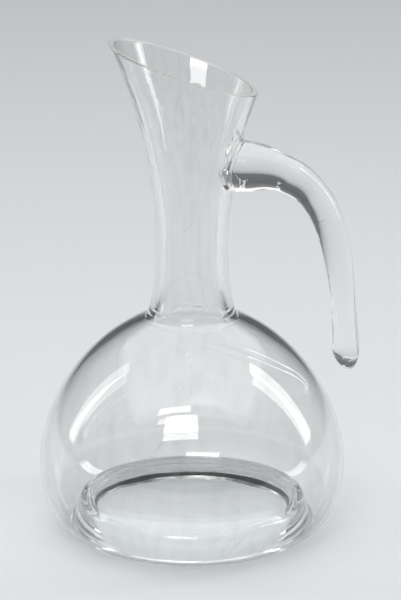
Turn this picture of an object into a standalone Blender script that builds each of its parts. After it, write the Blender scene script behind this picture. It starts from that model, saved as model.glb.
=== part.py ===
"""Handled wine decanter of clear hand-worked glass, in metres with +Z up.

A bell-shaped bowl with a domed base stands on a flat ring. A waisted neck, flared to a slanted mouth, is
sealed to it by a fused ring, and a solid handle hangs from a fused pad on the neck's low side (+X).
"""

import math

import bmesh
import bpy
from mathutils import Matrix, Vector

MM = 0.001

# Clearances and mesh density
GAP = 0.3 * MM
MERGE_DISTANCE = 0.00001
SHARP_ANGLE = math.radians(40)
TURN_STEPS = 48
CURVE_STEPS = 6

# Bowl, outside
BOWL_RADIUS = 95 * MM
WIDEST_HEIGHT = 42 * MM
RING_RADIUS = 70.5 * MM
RING_WIDTH = 4.5 * MM
BASE_SWEEP = 10 * MM
FLANK_SWEEP_BELOW = 29 * MM
FLANK_SWEEP_ABOVE = 30 * MM
SHOULDER_SWEEP = 47 * MM

# Bowl, domed base
DOME_RISE = 19.7 * MM
DOME_EDGE_DROP = 5.5 * MM
DOME_EDGE_INSET = 2.2 * MM
DOME_EDGE_PITCH = math.radians(55)
DOME_FOOT_SWEEP = 1.2 * MM
DOME_EDGE_SWEEP = 4.4 * MM
DOME_TOP_SWEEP = 36 * MM
VALLEY_OUTSET = 5 * MM
VALLEY_SWEEP = 5 * MM

# Glass thickness
WALL = 2.4 * MM
BASE_WALL = 4 * MM
DOME_EDGE_WALL = 7 * MM
WAIST_WALL = 6.4 * MM

# Fused ring that fills the angle between bowl and neck
SEAM_RADIUS = 30 * MM
SEAM_HEIGHT = 135 * MM
SEAM_PITCH = math.radians(24.5)
SEAL_RISE = 8.5 * MM
SEAL_LEAD = 1 * MM
SEAL_SWEEP = 4.3 * MM

# Neck
WAIST_RADIUS = 22.2 * MM
WAIST_RISE = 45 * MM
MOUTH_RISE = 107 * MM
MOUTH_TILT = math.radians(19.3)
FLARE_RADIUS = 55.1 * MM
FLARE_RISE = 132 * MM
FLARE_PITCH = math.radians(28.5)
WAIST_SWEEP_BELOW = 22 * MM
WAIST_SWEEP_ABOVE = 30 * MM
FLARE_SWEEP = 58 * MM
NECK_LEAN = math.radians(0.76)
LEAN_EASE = 10 * MM

# Handle and its pad
HANDLE_SEAT_RISE = 49 * MM
HANDLE_OVERHANG = 8.8 * MM
HANDLE_DROP = 129 * MM
ROOT_PITCH = math.radians(-3.75)
TIP_PITCH = math.radians(-85)
ROOT_SWEEP = 57 * MM
TIP_SWEEP = 79 * MM
ROOT_LEAD = 2 * MM
ROOT_DIAMETER = 31 * MM
HEEL_DIAMETER = 22 * MM
BEND_DIAMETER = 19.3 * MM
GRIP_DIAMETER = 15.4 * MM
TIP_DIAMETER = 16 * MM
HANDLE_STEPS = 22
TIP_STEPS = 4
HANDLE_BEVEL_STEPS = 8
PAD_THICKNESS = 1.5 * MM
PAD_SPREAD = 4 * MM
PAD_SEGMENTS = 40

# Heights and reaches that follow from the sizes above
SEAL_HEIGHT = SEAM_HEIGHT + SEAL_RISE
WAIST_HEIGHT = SEAM_HEIGHT + WAIST_RISE
MOUTH_HEIGHT = WAIST_HEIGHT + MOUTH_RISE
FLARE_HEIGHT = WAIST_HEIGHT + FLARE_RISE
HANDLE_SEAT_HEIGHT = WAIST_HEIGHT + HANDLE_SEAT_RISE
HANDLE_REACH = BOWL_RADIUS + HANDLE_OVERHANG
BOX_CENTRE = HANDLE_OVERHANG / 2
SEAM_WALL = WAIST_WALL * WAIST_RADIUS / SEAM_RADIUS

# How thick the handle is along its length, from root to tip
HANDLE_TAPER = (
    (0.0, ROOT_DIAMETER),
    (0.17, HEEL_DIAMETER),
    (0.30, BEND_DIAMETER),
    (0.76, GRIP_DIAMETER),
    (0.93, TIP_DIAMETER),
    (1.0, TIP_DIAMETER),
)

GLASS_COLOUR = (0.93, 0.95, 0.96, 1.0)
GLASS_ROUGHNESS = 0.02
GLASS_IOR = 1.5


def polar(length, angle):
    """A step of this length in the outline's plane, at an angle above the outward direction."""
    return Vector((length * math.cos(angle), length * math.sin(angle)))


def cubic(start, leave, arrive, end, steps=CURVE_STEPS):
    """Points along a cubic curve from start to end, with two handles between them."""
    points = []
    for index in range(steps + 1):
        t = index / steps
        u = 1 - t
        points.append(u**3 * start + 3 * u * u * t * leave + 3 * u * t * t * arrive + t**3 * end)
    return points


def joined(*runs):
    """Runs of points put end to end, with the point that two runs share kept once."""
    points = list(runs[0])
    for run in runs[1:]:
        points.extend(run[1:])
    return points


def offset(points, distances):
    """The points moved to the right of their direction of travel, each by its own distance."""
    moved = []
    for index, (point, distance) in enumerate(zip(points, distances)):
        before = points[max(index - 1, 0)]
        after = points[min(index + 1, len(points) - 1)]
        heading = (after - before).normalized()
        moved.append(point + distance * Vector((heading.y, -heading.x)))
    return moved


def split_at(points, height):
    """The points below a height and those above it, with the height itself in both."""
    for index, (low, high) in enumerate(zip(points, points[1:])):
        if high.y > height:
            level = low.lerp(high, (height - low.y) / (high.y - low.y))
            return points[: index + 1] + [level], [level] + points[index + 1 :]
    raise ValueError("the outline does not reach that height")


def bowl_side(seam, widest, foot, below, base):
    """One side of the bowl's wall from the neck down to the standing ring."""
    shoulder = cubic(
        seam,
        seam + polar(SHOULDER_SWEEP, -SEAM_PITCH),
        widest + Vector((0, FLANK_SWEEP_ABOVE)),
        widest,
        2 * CURVE_STEPS,
    )
    flank = cubic(widest, widest - Vector((0, below)), foot + Vector((base, 0)), foot)
    return joined(shoulder, flank)


def dome_side(foot, edge, top):
    """One side of the domed base from the standing ring in to the axis."""
    pitch = math.pi - DOME_EDGE_PITCH
    rise = cubic(
        foot,
        foot - Vector((DOME_FOOT_SWEEP, 0)),
        edge - polar(DOME_EDGE_SWEEP, pitch),
        edge,
        CURVE_STEPS // 2,
    )
    crown = cubic(
        edge,
        edge + polar(DOME_EDGE_SWEEP, pitch),
        top + Vector((DOME_TOP_SWEEP, 0)),
        top,
    )
    return joined(rise, crown)


def bowl_outline():
    """The bowl's section, from the middle of its floor round the wall to the middle of its underside."""
    seam = Vector((SEAM_RADIUS, SEAM_HEIGHT)) + polar(GAP, -SEAM_PITCH)
    ring_inside = RING_RADIUS - RING_WIDTH
    edge = Vector((ring_inside - DOME_EDGE_INSET, DOME_RISE - DOME_EDGE_DROP))
    outside = bowl_side(
        seam,
        Vector((BOWL_RADIUS, WIDEST_HEIGHT)),
        Vector((RING_RADIUS, 0)),
        FLANK_SWEEP_BELOW,
        BASE_SWEEP,
    )
    underside = dome_side(Vector((ring_inside, 0)), edge, Vector((0, DOME_RISE)))
    valley = Vector((RING_RADIUS + VALLEY_OUTSET, BASE_WALL))
    inside = bowl_side(
        seam - polar(SEAM_WALL, math.pi / 2 - SEAM_PITCH),
        Vector((BOWL_RADIUS - WALL, WIDEST_HEIGHT)),
        valley,
        FLANK_SWEEP_BELOW - WALL,
        VALLEY_SWEEP,
    )
    inner_edge = edge + polar(DOME_EDGE_WALL, math.pi / 2 - DOME_EDGE_PITCH)
    floor = dome_side(valley, inner_edge, Vector((0, DOME_RISE + BASE_WALL)))
    return list(reversed(joined(inside, floor))) + outside + underside


def upper_side():
    """The outer surface above the bowl: over the fused ring, up the neck and on past the mouth."""
    foot = Vector((SEAM_RADIUS, SEAM_HEIGHT))
    lead = foot - polar(SEAL_LEAD, -SEAM_PITCH)
    waist = Vector((WAIST_RADIUS, WAIST_HEIGHT))
    flare = Vector((FLARE_RADIUS, FLARE_HEIGHT))
    lower = cubic(
        lead,
        lead - polar(SEAL_SWEEP, -SEAM_PITCH),
        waist - Vector((0, WAIST_SWEEP_BELOW)),
        waist,
        2 * CURVE_STEPS,
    )
    upper = cubic(
        waist,
        waist + Vector((0, WAIST_SWEEP_ABOVE)),
        flare - polar(FLARE_SWEEP, math.pi / 2 - FLARE_PITCH),
        flare,
    )
    return [foot] + joined(lower, upper)


def neck_side():
    """The neck's outer surface, from just clear of the fused ring."""
    side = split_at(upper_side(), SEAL_HEIGHT)[1]
    side[0] = side[0] + GAP * (side[1] - side[0]).normalized()
    return side


def neck_radius(height):
    """The neck's outer radius at a height."""
    return split_at(neck_side(), height)[1][0].x


def neck_shift(height):
    """How far the neck's middle has leaned towards the handle at a height."""
    above = height - WAIST_HEIGHT
    return math.tan(NECK_LEAN) * (above + math.hypot(above, LEAN_EASE)) / 2


def drawn_wall(point):
    """How thick the drawn glass is under a place on its outer surface: the wider it flares, the thinner."""
    return WAIST_WALL * WAIST_RADIUS / point.x


def walled(side):
    """A wall's section as one loop: its outer surface downwards, then its inner surface upwards."""
    return list(reversed(side)) + offset(side, [-drawn_wall(point) for point in side])


def collection_named(name):
    made = bpy.data.collections.new(name)
    bpy.context.scene.collection.children.link(made)
    return made


def glass(name):
    """A material of clear glass for one piece."""
    material = bpy.data.materials.new(name)
    material.use_nodes = True
    shader = material.node_tree.nodes["Principled BSDF"]
    shader.inputs["Base Color"].default_value = GLASS_COLOUR
    shader.inputs["Roughness"].default_value = GLASS_ROUGHNESS
    shader.inputs["Metallic"].default_value = 0.0
    shader.inputs["IOR"].default_value = GLASS_IOR
    shader.inputs["Transmission Weight"].default_value = 1.0
    return material


def placed(name, data, collection, parent):
    """An object in a collection, standing where its parent stands."""
    made = bpy.data.objects.new(name, data)
    collection.objects.link(made)
    made.parent = parent
    return made


def turned(name, outline, closed, collection, parent):
    """An outline in the XZ plane, turned once about the upright axis."""
    mesh = bpy.data.meshes.new(name)
    count = len(outline)
    edges = [(index, (index + 1) % count) for index in range(count if closed else count - 1)]
    mesh.from_pydata([(point.x, 0, point.y) for point in outline], edges, [])
    made = placed(name, mesh, collection, parent)
    turn = made.modifiers.new("Turn", "SCREW")
    turn.axis = "Z"
    turn.angle = math.tau
    turn.steps = TURN_STEPS
    turn.render_steps = TURN_STEPS
    turn.use_merge_vertices = True
    turn.merge_threshold = MERGE_DISTANCE
    turn.use_smooth_shade = True
    return made


def settled(made):
    """Turns the piece's modifiers into its mesh, with the sharp edges marked."""
    bpy.context.view_layer.update()
    evaluated = made.evaluated_get(bpy.context.evaluated_depsgraph_get())
    mesh = bpy.data.meshes.new_from_object(evaluated)
    mesh.set_sharp_from_angle(angle=SHARP_ANGLE)
    made.modifiers.clear()
    made.data = mesh
    return made


def leaned(made):
    """Leans a turned piece with the neck."""
    for vertex in settled(made).data.vertices:
        vertex.co.x += neck_shift(vertex.co.z)
    return made


def cutter(made):
    """Marks an object as a helper that only cuts."""
    made.hide_render = True
    made.display_type = "WIRE"
    return made


def cut(made, tool, name):
    """Takes the tool's volume away from the piece."""
    change = made.modifiers.new(name, "BOOLEAN")
    change.operation = "DIFFERENCE"
    change.solver = "EXACT"
    change.object = tool


def mesh_object(name, shape, collection, parent):
    """An object from a bmesh, shaded smooth."""
    mesh = bpy.data.meshes.new(name)
    shape.to_mesh(mesh)
    shape.free()
    mesh.shade_smooth()
    return placed(name, mesh, collection, parent)


def mouth_cutter(collection, parent):
    """A block whose underside is the plane of the slanted mouth."""
    side = 2 * (FLARE_RADIUS + FLARE_RISE)
    shape = bmesh.new()
    bmesh.ops.create_cube(shape, size=side)
    bmesh.ops.translate(shape, verts=shape.verts, vec=(0, 0, side / 2))
    bmesh.ops.rotate(shape, verts=shape.verts, matrix=Matrix.Rotation(MOUTH_TILT, 3, "Y"))
    made = mesh_object("mouth_cutter", shape, collection, parent)
    made.location.z = MOUTH_HEIGHT
    return cutter(made)


def neck_core(collection, parent):
    """The neck filled solid and grown by the clearance, to shape what sits on it."""
    side = neck_side()
    side = offset(side, [GAP] * len(side))
    outline = [Vector((0, side[-1].y))] + list(reversed(side)) + [Vector((0, side[0].y))]
    return cutter(leaned(turned("neck_core", outline, False, collection, parent)))


def root_centre():
    """The middle of the handle's flat root, just clear of the neck's flare above it."""
    crest = HANDLE_SEAT_HEIGHT + ROOT_DIAMETER / 2
    surface = neck_radius(crest) + neck_shift(crest)
    across = ROOT_DIAMETER / 2 * math.sin(-ROOT_PITCH)
    return Vector((surface + 2 * GAP + PAD_THICKNESS - across, HANDLE_SEAT_HEIGHT))


def taper(share):
    """The handle's radius at a share of its length."""
    for (low, thick), (high, thin) in zip(HANDLE_TAPER, HANDLE_TAPER[1:]):
        if share <= high:
            t = (share - low) / (high - low)
            ease = t * t * (3 - 2 * t)
            return (thick + ease * (thin - thick)) / 2
    return TIP_DIAMETER / 2


def along(points, distance):
    """The place on a run of points at a distance from its start."""
    for before, after in zip(points, points[1:]):
        step = (after - before).length
        if distance <= step:
            return before.lerp(after, distance / step)
        distance -= step
    return points[-1]


def handle_line():
    """The handle's middle line with its radius: straight off its flat root, and closed by a round tip."""
    root = root_centre()
    start = root + polar(ROOT_LEAD, ROOT_PITCH)
    cap = TIP_DIAMETER / 2
    end = Vector((HANDLE_REACH - cap + cap * math.cos(TIP_PITCH), HANDLE_SEAT_HEIGHT - HANDLE_DROP))
    bend = cubic(
        start,
        start + polar(ROOT_SWEEP, ROOT_PITCH),
        end - polar(TIP_SWEEP, TIP_PITCH),
        end,
        HANDLE_STEPS * CURVE_STEPS,
    )
    length = sum((after - before).length for before, after in zip(bend, bend[1:]))
    line = [(root, ROOT_DIAMETER / 2)]
    for index in range(HANDLE_STEPS + 1):
        distance = (length - cap) * index / HANDLE_STEPS
        line.append((along(bend, distance), taper(distance / length)))
    for index in range(1, TIP_STEPS + 1):
        turn = math.pi / 2 * index / (TIP_STEPS + 0.5)
        line.append((along(bend, length - cap + cap * math.sin(turn)), cap * math.cos(turn)))
    return line


def make_handle(collection, parent):
    """The solid handle: a round rod along its middle line, thick at the root."""
    line = handle_line()
    curve = bpy.data.curves.new("handle", "CURVE")
    curve.dimensions = "3D"
    curve.bevel_depth = GRIP_DIAMETER / 2
    curve.bevel_resolution = HANDLE_BEVEL_STEPS
    curve.use_fill_caps = True
    spline = curve.splines.new("POLY")
    spline.points.add(len(line) - 1)
    spline.use_smooth = True
    for point, (place, radius) in zip(spline.points, line):
        point.co = (place.x, 0, place.y, 1)
        point.radius = radius / curve.bevel_depth
    return placed("handle", curve, collection, parent)


def make_handle_seal(core, collection, parent):
    """The fused pad: a short stub from the handle's root, wider across the neck and saddled onto it."""
    root = root_centre()
    depth = root.x - neck_radius(HANDLE_SEAT_HEIGHT) / 2
    shape = bmesh.new()
    bmesh.ops.create_cone(
        shape,
        cap_ends=True,
        segments=PAD_SEGMENTS,
        radius1=ROOT_DIAMETER / 2,
        radius2=ROOT_DIAMETER / 2,
        depth=depth,
    )
    buried = [vertex for vertex in shape.verts if vertex.co.z < 0]
    bmesh.ops.scale(shape, verts=buried, vec=(1, 1 + 2 * PAD_SPREAD / ROOT_DIAMETER, 1))
    bmesh.ops.translate(shape, verts=shape.verts, vec=(0, 0, -depth / 2 - GAP))
    turn = Matrix.Rotation(math.pi / 2 - ROOT_PITCH, 3, "Y")
    bmesh.ops.rotate(shape, verts=shape.verts, matrix=turn)
    made = mesh_object("handle_seal", shape, collection, parent)
    made.location = (root.x, 0, root.y)
    cut(made, core, "Saddle")
    return settled(made)


def main():
    for existing in list(bpy.data.objects):
        bpy.data.objects.remove(existing)
    parts = collection_named("wine_decanter")
    tools = collection_named("cutters")
    middle = placed("bowl_axis", None, parts, None)
    middle.location.x = -BOX_CENTRE

    bowl = settled(turned("bowl", bowl_outline(), False, parts, middle))
    ring_side = split_at(upper_side(), SEAL_HEIGHT)[0]
    neck_seal = settled(turned("neck_seal", walled(ring_side), True, parts, middle))
    neck = leaned(turned("neck", walled(neck_side()), True, parts, middle))
    cut(neck, mouth_cutter(tools, middle), "Slanted mouth")
    settled(neck)
    handle = make_handle(parts, middle)
    handle_seal = make_handle_seal(neck_core(tools, middle), parts, middle)

    for piece in (bowl, neck_seal, neck, handle, handle_seal):
        piece.data.materials.append(glass(piece.name + "_glass"))


main()
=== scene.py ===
"""Handled wine decanter of clear hand-worked glass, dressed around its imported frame.

Each piece of glass is turned, drawn or lofted in mesh code where the frame holds its plain solid. Pieces
that are fused share one joint face, and that face is see-through, so light crosses it as in a single body.
"""

import math

import bpy
import numpy as np
from bpy.props import FloatProperty, FloatVectorProperty, PointerProperty
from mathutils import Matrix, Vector
from mathutils.geometry import delaunay_2d_cdt


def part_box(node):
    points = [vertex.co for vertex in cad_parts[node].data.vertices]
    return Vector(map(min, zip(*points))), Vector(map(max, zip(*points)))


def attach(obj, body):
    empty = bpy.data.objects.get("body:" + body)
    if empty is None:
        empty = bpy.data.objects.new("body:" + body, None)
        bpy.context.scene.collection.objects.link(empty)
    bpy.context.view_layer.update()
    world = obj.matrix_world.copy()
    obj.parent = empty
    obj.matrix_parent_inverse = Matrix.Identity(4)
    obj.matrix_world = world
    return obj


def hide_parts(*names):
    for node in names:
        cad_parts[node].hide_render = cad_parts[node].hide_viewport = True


bl_info = {
    "name": "Handled Wine Decanter",
    "version": (1, 0, 0),
    "blender": (4, 5, 0),
    "location": "View3D > Sidebar > Decanter",
    "description": "Dresses the packed decanter in clear hand-worked glass on a pale studio floor",
    "category": "Object",
}

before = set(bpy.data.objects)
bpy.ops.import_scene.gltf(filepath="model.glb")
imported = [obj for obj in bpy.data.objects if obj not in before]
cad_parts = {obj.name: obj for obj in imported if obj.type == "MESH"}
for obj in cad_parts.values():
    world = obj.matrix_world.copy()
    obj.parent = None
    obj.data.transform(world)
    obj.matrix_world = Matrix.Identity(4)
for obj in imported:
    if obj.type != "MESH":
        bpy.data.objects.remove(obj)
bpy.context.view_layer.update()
BODY = "root"
MM = 0.001

# What the frame says
BOWL_LOW, BOWL_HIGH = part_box("bowl")
AXIS_X = (BOWL_LOW.x + BOWL_HIGH.x) / 2
HANDLE_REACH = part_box("handle")[1].x - AXIS_X

# Finishes of a piece, as places in its list of materials
SURFACE, JOINT, CUT_EDGE = 0, 1, 2

# Mesh density
TURN_STEPS = 160
PAD_STEPS = 120
CURVE_STEPS = 240
SHOULDER_STEP = 2.4 * MM
FLANK_STEP = 1.4 * MM
RING_STEP = 1.0 * MM
DOME_FOOT_STEP = 1.2 * MM
DOME_TOP_STEP = 2.0 * MM
NECK_STEP = 1.9 * MM
ROOT_STEP = 0.5 * MM
SEAL_ROWS = 30
MOUTH_ROWS = 18
RIM_CORNER_ROWS = 5
RIM_FLAT_ROWS = 4
SHAFT_ROWS = 104
DROP_ROWS = 46
PAD_STRAIGHT_ROWS = 8
PAD_FILLET_ROWS = 30

# Curves of the bowl
BASE_SWEEP = 10 * MM
FLANK_SWEEP_BELOW = 29 * MM
FLANK_SWEEP_ABOVE = 30 * MM
SHOULDER_SWEEP = 47 * MM
DOME_EDGE_DROP = 5.5 * MM
DOME_EDGE_INSET = 2.2 * MM
DOME_EDGE_PITCH = math.radians(55)
DOME_EDGE_WALL = 7 * MM
DOME_FOOT_SWEEP = 1.2 * MM
DOME_EDGE_SWEEP = 4.4 * MM
DOME_TOP_SWEEP = 36 * MM
VALLEY_OUTSET = 5 * MM
VALLEY_SWEEP = 5 * MM

# Curves of the neck
SEAM_PITCH = math.radians(24.5)
SEAL_LEAD = 1 * MM
SEAL_SWEEP = 4.3 * MM
SEAL_SETTLE = 7 * MM
FLARE_RADIUS = 55.1 * MM
FLARE_RISE = 132 * MM
FLARE_PITCH = math.radians(28.5)
WAIST_SWEEP_BELOW = 22 * MM
WAIST_SWEEP_ABOVE = 30 * MM
FLARE_SWEEP = 58 * MM
LEAN_EASE = 10 * MM
LEVEL_BELOW_MOUTH = 26 * MM

# How far the hand-cut mouth strays from its plane: at its top, away from it, and more at the back
MOUTH_STRAY_TOP = 0.18 * MM
MOUTH_STRAY = 0.75 * MM
MOUTH_STRAY_BACK = 0.33 * MM
MOUTH_TOP_WIDTH = 0.5

# Curves of the handle, and the shares of its length at which its thickness is set
ROOT_PITCH = math.radians(-3.75)
TIP_PITCH = math.radians(-85)
ROOT_SWEEP = 57 * MM
TIP_SWEEP = 79 * MM
ROOT_LEAD = 2 * MM
HEEL_PLACE = 0.17
BEND_PLACE = 0.30
GRIP_PLACE = 0.76
TIP_INSET = 8 * MM
TIP_TUCK = 0.9 * MM
TUCK_LENGTH = 45 * MM
DROP_LENGTH = 14.4 * MM
DROP_POINT = 1.6
DROP_SWAY = 2.0 * MM


def number(name, description, default, **kind):
    return FloatProperty(name=name, description=description, default=default, **kind)


def metres(name, description, default):
    return number(name, description, default, unit="LENGTH", precision=5)


def degrees(name, description, default):
    return number(name, description, math.radians(default), subtype="ANGLE")


def fraction(name, description, default):
    return number(name, description, default, min=0, max=1, subtype="FACTOR")


def watts(name, description, default):
    return number(name, description, default, unit="POWER")


def colour(name, description, default):
    return FloatVectorProperty(name=name, description=description, default=default, subtype="COLOR")


class BowlSizes(bpy.types.PropertyGroup):
    """Sizes of the blown bowl."""

    radius: metres("Radius", "Widest radius of the bowl", (BOWL_HIGH.x - BOWL_LOW.x) / 2)
    widest_height: metres("Widest height", "Height of the widest part", 42 * MM)
    ring_radius: metres("Ring radius", "Outer radius of the standing ring", 70.5 * MM)
    ring_width: metres("Ring width", "Width of the standing ring", 4.5 * MM)
    dome_rise: metres("Dome rise", "Height of the hollow under the base", 19.7 * MM)
    wall: metres("Wall", "Thickness of the blown wall", 2.4 * MM)
    base_wall: metres("Base wall", "Thickness of the domed base", 4 * MM)
    wave: metres("Wave", "How far the inner wall wanders", 0.12 * MM)


class NeckSizes(bpy.types.PropertyGroup):
    """Sizes of the drawn neck and of the ring that fuses it to the bowl."""

    seam_radius: metres("Seam radius", "Radius where the fused ring meets the bowl", 30 * MM)
    seam_height: metres("Seam height", "Height where the fused ring meets the bowl", 135 * MM)
    seal_rise: metres("Seal rise", "Height of the fused ring", 8.5 * MM)
    bead: metres("Bead", "Height of the beads inside the fused ring", 0.22 * MM)
    waist_radius: metres("Waist radius", "Smallest outer radius of the neck", 22.2 * MM)
    waist_rise: metres("Waist rise", "Height of the waist above the seam", 45 * MM)
    mouth_rise: metres("Mouth rise", "Height of the mouth's middle above the waist", 107 * MM)
    waist_wall: metres("Waist wall", "Thickness of the drawn wall at the waist", 6.4 * MM)
    streak: metres("Streak", "Depth of the drawn streaks", 0.05 * MM)
    rim_round: metres("Rim rounding", "How far the cut rim's edges are melted round", 0.45 * MM)
    mouth_tilt: degrees("Mouth tilt", "Slant of the mouth", 19.3)
    lean: degrees("Lean", "Lean of the neck above its waist", 0.76)


class HandleSizes(bpy.types.PropertyGroup):
    """Sizes of the solid handle and of the pad that fuses it to the neck."""

    seat_rise: metres("Seat rise", "Height of the root above the neck's waist", 49 * MM)
    reach: metres("Reach", "Distance of the outer side from the bowl's axis", HANDLE_REACH)
    drop: metres("Drop", "Height of the root above the tip", 129 * MM)
    root: metres("Root", "Diameter at the root", 31 * MM)
    heel: metres("Heel", "Diameter at the heel", 22 * MM)
    bend: metres("Bend", "Diameter at the bend", 19.3 * MM)
    grip: metres("Grip", "Diameter of the grip", 15.4 * MM)
    tip: metres("Tip", "Diameter of the drop at the tip", 16.8 * MM)
    streak: metres("Streak", "Height of the pulled streaks", 0.10 * MM)
    pad: metres("Pad", "Thickness of the fused pad at its thinnest", 2.1 * MM)
    wrap: degrees("Wrap", "How far the pad reaches round the neck", 43)
    wrinkle: metres("Wrinkle", "Height of the pad's wrinkles", 0.14 * MM)


class GlassLook(bpy.types.PropertyGroup):
    """How the glass looks."""

    tint: colour("Tint", "Colour of light through the glass", (0.976, 0.981, 0.980))
    edge_tint: colour("Edge tint", "Colour left where glass is seen edge on", (0.74, 0.77, 0.765))
    roughness: fraction("Roughness", "Haze of the polished glass", 0.004)
    cut_roughness: fraction("Cut roughness", "Haze of the cut rim", 0.38)
    cut_clearness: fraction("Cut clearness", "Share of light that goes through the cut rim", 0.55)
    index: number("Index", "Refractive index of the glass", 1.5)


class StageLook(bpy.types.PropertyGroup):
    """How the studio looks."""

    floor: colour("Floor", "Colour of the floor", (0.70, 0.71, 0.72))
    overhead: watts("Overhead", "Power of the broad light", 72.0)
    window: watts("Window", "Power of the window light", 6.2)
    strip: watts("Strip", "Power of each narrow light", 4.0)
    sky: number("Sky", "Strength of the soft surroundings", 0.42)


def polar(length, angle):
    """A step of this length in an outline's plane, at an angle above the outward direction."""
    return np.array((length * math.cos(angle), length * math.sin(angle)))


def cubic(start, leave, arrive, end):
    """Points along a cubic curve."""
    t = np.linspace(0, 1, CURVE_STEPS + 1)[:, None]
    u = 1 - t
    return u**3 * start + 3 * u * u * t * leave + 3 * u * t * t * arrive + t**3 * end


def bowed(start, corner, end, t):
    """A place on the bow from start to end that leans towards a corner."""
    return (1 - t) ** 2 * start + 2 * t * (1 - t) * corner + t * t * end


def travelled(points):
    """Distance along a run of points at each of them."""
    return np.concatenate(([0.0], np.cumsum(np.linalg.norm(np.diff(points, axis=0), axis=1))))


def spaced(points, step):
    """The run of points again, with about this step between them."""
    along = travelled(points)
    count = max(2, round(along[-1] / step))
    wanted = np.linspace(0, along[-1], count + 1)
    return np.stack([np.interp(wanted, along, points[:, axis]) for axis in range(points.shape[1])], 1)


def joined(*runs):
    """Runs of points put end to end, with the point that two runs share kept once."""
    return np.concatenate([runs[0]] + [run[1:] for run in runs[1:]])


def right_of(points):
    """Unit normals to the right of the direction of travel."""
    heading = np.gradient(points, axis=0)
    heading /= np.linalg.norm(heading, axis=1)[:, None]
    return np.stack([heading[:, 1], -heading[:, 0]], 1)


def eased(value, low, high):
    """Rises smoothly from 0 at low to 1 at high."""
    t = np.clip((np.asarray(value, float) - low) / (high - low), 0, 1)
    return t * t * (3 - 2 * t)


def hump(value, middle, width):
    """A soft hump of height 1."""
    return np.exp(-(((value - middle) / width) ** 2))


def swell(angle, place, width):
    """A soft hump of height 1 at a place round a piece."""
    return hump((angle - place + math.pi) % math.tau - math.pi, 0, width)


def waved(waves, angles, climbed=0.0, offset=1.0):
    """A sum of sines. Each row has a share, how often it goes round, where it starts and how it climbs."""
    total = 0.0
    for share, count, start, climb in waves:
        total = total + share * np.sin(count * angles + start * offset + climb * climbed)
    return total


def turn_angles(steps):
    """Angles once round, in even steps."""
    return np.arange(steps) * math.tau / steps


def turned(radius, height, angles, shift=0.0):
    """A ring of points round the axis. Radius and height are one number, or one for each angle."""
    places = (radius * np.cos(angles) + shift, radius * np.sin(angles), height)
    return np.stack(np.broadcast_arrays(*places), -1)


class Shell:
    """The points and faces of one piece of glass while it is put together."""

    def __init__(self):
        self.points = []
        self.faces = []
        self.finishes = []
        self.creases = set()

    def ring(self, places):
        """Adds points and gives their numbers."""
        first = len(self.points)
        self.points.extend(tuple(float(value) for value in place) for place in np.atleast_2d(places))
        return list(range(first, len(self.points)))

    def face(self, corners, finish=SURFACE):
        self.faces.append(tuple(corners))
        self.finishes.append(finish)

    def band(self, low, high, finish=SURFACE, skip=()):
        """Faces between two closed rings of points, either of which may be a single pole."""
        count = max(len(low), len(high))
        for index in range(count):
            after = (index + 1) % count
            if index in skip:
                continue
            if len(low) == 1:
                self.face((low[0], high[after], high[index]), finish)
            elif len(high) == 1:
                self.face((low[index], low[after], high[0]), finish)
            else:
                self.face((low[index], low[after], high[after], high[index]), finish)

    def strip(self, rings):
        """Faces along a run of closed rings."""
        for low, high in zip(rings, rings[1:]):
            self.band(low, high)

    def joint(self, low, high):
        """The face that a fused neighbour shares, between two closed rings or from a pole to one."""
        self.band(low, high, JOINT)
        for ring in (low, high):
            if len(ring) > 1:
                self.crease(ring)

    def crease(self, ring):
        """Keeps the shading on the two sides of a closed ring apart."""
        for index, point in enumerate(ring):
            self.creases.add(tuple(sorted((point, ring[(index + 1) % len(ring)]))))

    def piece(self, name, glass, *more):
        """The finished object, standing on the bowl's axis, with its faces turned outwards."""
        used = sorted({corner for face in self.faces for corner in face})
        new = {old: index for index, old in enumerate(used)}
        points = [self.points[old] for old in used]
        faces = [tuple(new[corner] for corner in face) for face in self.faces]
        mesh = bpy.data.meshes.new(name)
        mesh.from_pydata([(x + AXIS_X, y, z) for x, y, z in points], [], faces)
        if 2 * len(mesh.edges) != len(mesh.loops):
            raise RuntimeError(f"{name} isn't a closed piece of glass")
        mesh.polygons.foreach_set("material_index", self.finishes)
        mesh.shade_smooth()
        creases = {tuple(sorted((new[a], new[b]))) for a, b in self.creases}
        for edge in mesh.edges:
            edge.use_edge_sharp = tuple(sorted(edge.vertices)) in creases
        mesh.update()
        mesh.calc_loop_triangles()
        corners = np.array(points)[np.array([triangle.vertices for triangle in mesh.loop_triangles])]
        six_volumes = np.einsum("ij,ij->", corners[:, 0], np.cross(corners[:, 1], corners[:, 2]))
        if six_volumes < 0:
            mesh.flip_normals()
        for finish in (glass, joint_finish(), *more):
            mesh.materials.append(finish)
        made = bpy.data.objects.new(name, mesh)
        bpy.context.scene.collection.objects.link(made)
        return made


def dressed(piece, node):
    """Puts a piece in a node's place."""
    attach(piece, BODY)
    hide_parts(node)


# The streaks that drawing leaves along the neck, how they wander, and what sets its two sides apart
NECK_STREAKS = ((0.5, 7, 1.0, 1), (0.3, 13, 2.3, -1), (0.2, 21, 4.1, 2))
NECK_STREAKS_FADE = (1 * MM, 14 * MM)
NECK_WANDER = 0.35
NECK_WANDER_LENGTH = 100 / 9 * MM
OUTER_STREAKS = 0.5
INNER_STREAKS = 2.0


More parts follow.
